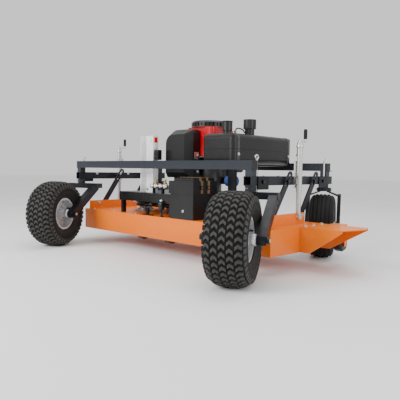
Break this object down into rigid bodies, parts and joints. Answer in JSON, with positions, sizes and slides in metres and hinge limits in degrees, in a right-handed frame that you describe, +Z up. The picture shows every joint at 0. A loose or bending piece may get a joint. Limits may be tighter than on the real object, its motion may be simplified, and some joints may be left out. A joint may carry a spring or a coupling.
{
  "type": "towed rough-cut mower",
  "caption": "Towed rough-cut mower with a four-caster tube frame, a hanging orange deck with side discharge, and its own vertical-shaft engine, battery and fuel tank.",
  "frame": {"origin": "on the ground, under the middle of the machine's box", "axes": "+X to the machine's right (discharge side), +Y forwards to the hitch, +Z up"},
  "size_m": [2.2675, 1.4689, 0.878],
  "materials": {
    "frame_paint": "satin powder coat",
    "zinc": "zinc plated",
    "rim_paint": "silver paint",
    "tyre": "matte",
    "deck_paint": "gloss powder coat",
    "steel": "machined",
    "blade_steel": "mill finish",
    "black_plastic": "moulded, fine texture",
    "engine_alloy": "cast",
    "shroud_red": "gloss",
    "filter_blue": "gloss",
    "post_white": "pale galvanised",
    "belt_rubber": "matte"
  },
  "bodies": {
    "frame": {"left_rail": "frame_paint", "right_rail": "frame_paint", "rear_cross_tube": "frame_paint", "front_cross_tube": "frame_paint", "corner_brackets": "frame_paint", "swivel_housings": "frame_paint", "jack_tubes": "zinc", "hitch_clevis": "frame_paint"},
    "rear_left_lock_pin": {"rear_left_lock_pin": "zinc"},
    "rear_left_caster": {"rear_left_fork": "frame_paint"},
    "rear_left_wheel": {"rear_left_rim": "rim_paint", "rear_left_tyre": "tyre"},
    "rear_right_lock_pin": {"rear_right_lock_pin": "zinc"},
    "rear_right_caster": {"rear_right_fork": "frame_paint"},
    "rear_right_wheel": {"rear_right_rim": "rim_paint", "rear_right_tyre": "tyre"},
    "front_left_lock_pin": {"front_left_lock_pin": "zinc"},
    "front_left_caster": {"front_left_fork": "frame_paint"},
    "front_left_wheel": {"front_left_rim": "rim_paint", "front_left_tyre": "tyre"},
    "front_right_lock_pin": {"front_right_lock_pin": "zinc"},
    "front_right_caster": {"front_right_fork": "frame_paint"},
    "front_right_wheel": {"front_right_rim": "rim_paint", "front_right_tyre": "tyre"},
    "deck": {"deck_shell": "deck_paint", "deck_brackets": "deck_paint", "discharge_chute": "deck_paint", "spindle_housings": "steel", "jack_rods": "zinc", "engine_platform": "black_plastic", "engine_block": "engine_alloy", "blower_shroud": "shroud_red", "muffler_cover": "black_plastic", "oil_filter": "filter_blue", "hose_post": "post_white", "battery_box": "black_plastic", "battery": "black_plastic", "fuel_tank": "black_plastic", "tank_stand": "frame_paint", "drive_belts": "belt_rubber"},
    "right_rear_link": {"right_rear_link": "frame_paint"},
    "right_front_link": {"right_front_link": "frame_paint"},
    "left_rear_link": {"left_rear_link": "frame_paint"},
    "left_front_link": {"left_front_link": "frame_paint"},
    "left_jack_crank": {"left_jack_crank": "zinc"},
    "right_jack_crank": {"right_jack_crank": "zinc"},
    "engine_crank": {"engine_pulley": "steel", "rotating_screen": "black_plastic"},
    "left_blade_spindle": {"left_spindle": "steel", "left_blade": "blade_steel"},
    "middle_blade_spindle": {"middle_spindle": "steel", "middle_blade": "blade_steel"},
    "right_blade_spindle": {"right_spindle": "steel", "right_blade": "blade_steel"},
    "idler": {"idler_arm": "steel"},
    "left_roller": {"left_roller": "black_plastic"},
    "middle_roller": {"middle_roller": "black_plastic"},
    "right_roller": {"right_roller": "black_plastic"},
    "battery_lid": {"battery_lid": "black_plastic"},
    "fuel_cap": {"fuel_cap": "black_plastic"}
  },
  "joints": [
    {"name": "rear_left_lock_pin_lift", "type": "slide", "parent": "frame", "child": "rear_left_lock_pin", "axis": [0, 0, 1], "range_m": [0, 0.03]},
    {"name": "rear_left_swivel", "type": "hinge", "parent": "frame", "child": "rear_left_caster", "pos_m": [-0.97485, -0.2049, 0.43], "axis": [0, 0, 1], "range_deg": [-68, 18]},
    {"name": "rear_left_wheel_spin", "type": "hinge", "parent": "rear_left_caster", "child": "rear_left_wheel", "pos_m": [-0.83539, -0.50398, 0.228], "axis": [0.9063, 0.4226, 0], "continuous": true},
    {"name": "rear_right_lock_pin_lift", "type": "slide", "parent": "frame", "child": "rear_right_lock_pin", "axis": [0, 0, 1], "range_m": [0, 0.03]},
    {"name": "rear_right_swivel", "type": "hinge", "parent": "frame", "child": "rear_right_caster", "pos_m": [0.66515, -0.2049, 0.43], "axis": [0, 0, 1], "range_deg": [-68, 18]},
    {"name": "rear_right_wheel_spin", "type": "hinge", "parent": "rear_right_caster", "child": "rear_right_wheel", "pos_m": [0.80461, -0.50398, 0.228], "axis": [0.9063, 0.4226, 0], "continuous": true},
    {"name": "front_left_lock_pin_lift", "type": "slide", "parent": "frame", "child": "front_left_lock_pin", "axis": [0, 0, 1], "range_m": [0, 0.03]},
    {"name": "front_left_swivel", "type": "hinge", "parent": "frame", "child": "front_left_caster", "pos_m": [-0.97485, 0.5951, 0.43], "axis": [0, 0, 1], "continuous": true},
    {"name": "front_left_wheel_spin", "type": "hinge", "parent": "front_left_caster", "child": "front_left_wheel", "pos_m": [-0.94527, 0.53166, 0.203], "axis": [0.9063, 0.4226, 0], "continuous": true},
    {"name": "front_right_lock_pin_lift", "type": "slide", "parent": "frame", "child": "front_right_lock_pin", "axis": [0, 0, 1], "range_m": [0, 0.03]},
    {"name": "front_right_swivel", "type": "hinge", "parent": "frame", "child": "front_right_caster", "pos_m": [0.66515, 0.5951, 0.43], "axis": [0, 0, 1], "continuous": true},
    {"name": "front_right_wheel_spin", "type": "hinge", "parent": "front_right_caster", "child": "front_right_wheel", "pos_m": [0.69473, 0.53166, 0.203], "axis": [0.9063, 0.4226, 0], "continuous": true},
    {"name": "deck_lift", "type": "slide", "parent": "frame", "child": "deck", "axis": [0, 0, 1], "range_m": [-0.045, 0.025]},
    {"name": "right_rear_link_swing", "type": "hinge", "parent": "deck", "child": "right_rear_link", "pos_m": [0.70515, -0.0549, 0.28], "axis": [1, 0, 0], "range_deg": [-3.2, 5.6]},
    {"name": "right_front_link_swing", "type": "hinge", "parent": "deck", "child": "right_front_link", "pos_m": [0.70515, 0.2401, 0.28], "axis": [1, 0, 0], "range_deg": [-3.2, 5.6]},
    {"name": "left_rear_link_swing", "type": "hinge", "parent": "deck", "child": "left_rear_link", "pos_m": [-0.89485, -0.0549, 0.28], "axis": [1, 0, 0], "range_deg": [-3.2, 5.6]},
    {"name": "left_front_link_swing", "type": "hinge", "parent": "deck", "child": "left_front_link", "pos_m": [-0.89485, 0.2401, 0.28], "axis": [1, 0, 0], "range_deg": [-3.2, 5.6]},
    {"name": "left_jack_crank_turn", "type": "hinge", "parent": "frame", "child": "left_jack_crank", "pos_m": [-1.02985, 0.1951, 0.72], "axis": [0, 0, 1], "continuous": true},
    {"name": "right_jack_crank_turn", "type": "hinge", "parent": "frame", "child": "right_jack_crank", "pos_m": [0.72015, 0.1951, 0.72], "axis": [0, 0, 1], "continuous": true},
    {"name": "engine_crank_spin", "type": "hinge", "parent": "deck", "child": "engine_crank", "pos_m": [0.03515, 0.1551, 0.315], "axis": [0, 0, 1], "continuous": true},
    {"name": "left_blade_spin", "type": "hinge", "parent": "deck", "child": "left_blade_spindle", "pos_m": [-0.51635, 0.0471, 0.24], "axis": [0, 0, 1], "continuous": true},
    {"name": "middle_blade_spin", "type": "hinge", "parent": "deck", "child": "middle_blade_spindle", "pos_m": [-0.04235, 0.1871, 0.24], "axis": [0, 0, 1], "continuous": true},
    {"name": "right_blade_spin", "type": "hinge", "parent": "deck", "child": "right_blade_spindle", "pos_m": [0.43165, 0.0471, 0.24], "axis": [0, 0, 1], "continuous": true},
    {"name": "idler_swing", "type": "hinge", "parent": "deck", "child": "idler", "pos_m": [-0.1849, 0.17818, 0.305], "axis": [0, 0, 1], "range_deg": [-12, 0], "stiffness_Nm_per_rad": 4, "springref_deg": 17.19},
    {"name": "left_roller_spin", "type": "hinge", "parent": "deck", "child": "left_roller", "pos_m": [-0.27985, -0.1569, 0.118], "axis": [1, 0, 0], "continuous": true},
    {"name": "middle_roller_spin", "type": "hinge", "parent": "deck", "child": "middle_roller", "pos_m": [-0.00485, -0.1569, 0.118], "axis": [1, 0, 0], "continuous": true},
    {"name": "right_roller_spin", "type": "hinge", "parent": "deck", "child": "right_roller", "pos_m": [0.91015, 0.3551, 0.128], "axis": [1, 0, 0], "continuous": true},
    {"name": "battery_lid_lift", "type": "slide", "parent": "deck", "child": "battery_lid", "axis": [0, 0, 1], "range_m": [0, 0.015]},
    {"name": "fuel_cap_turn", "type": "hinge", "parent": "deck", "child": "fuel_cap", "pos_m": [0.35015, 0.1901, 0.83], "axis": [0, 0, 1], "range_deg": [0, 270]}
  ],
  "couplings": [
    {"joint": "right_rear_link_swing", "follows": "deck_lift", "rad_per_m": -2.0595},
    {"joint": "right_front_link_swing", "follows": "deck_lift", "rad_per_m": -2.0595},
    {"joint": "left_rear_link_swing", "follows": "deck_lift", "rad_per_m": -2.0595},
    {"joint": "left_front_link_swing", "follows": "deck_lift", "rad_per_m": -2.0595},
    {"joint": "left_blade_spin", "follows": "engine_crank_spin", "ratio": 1},
    {"joint": "middle_blade_spin", "follows": "engine_crank_spin", "ratio": 1},
    {"joint": "right_blade_spin", "follows": "engine_crank_spin", "ratio": 1}
  ]
}
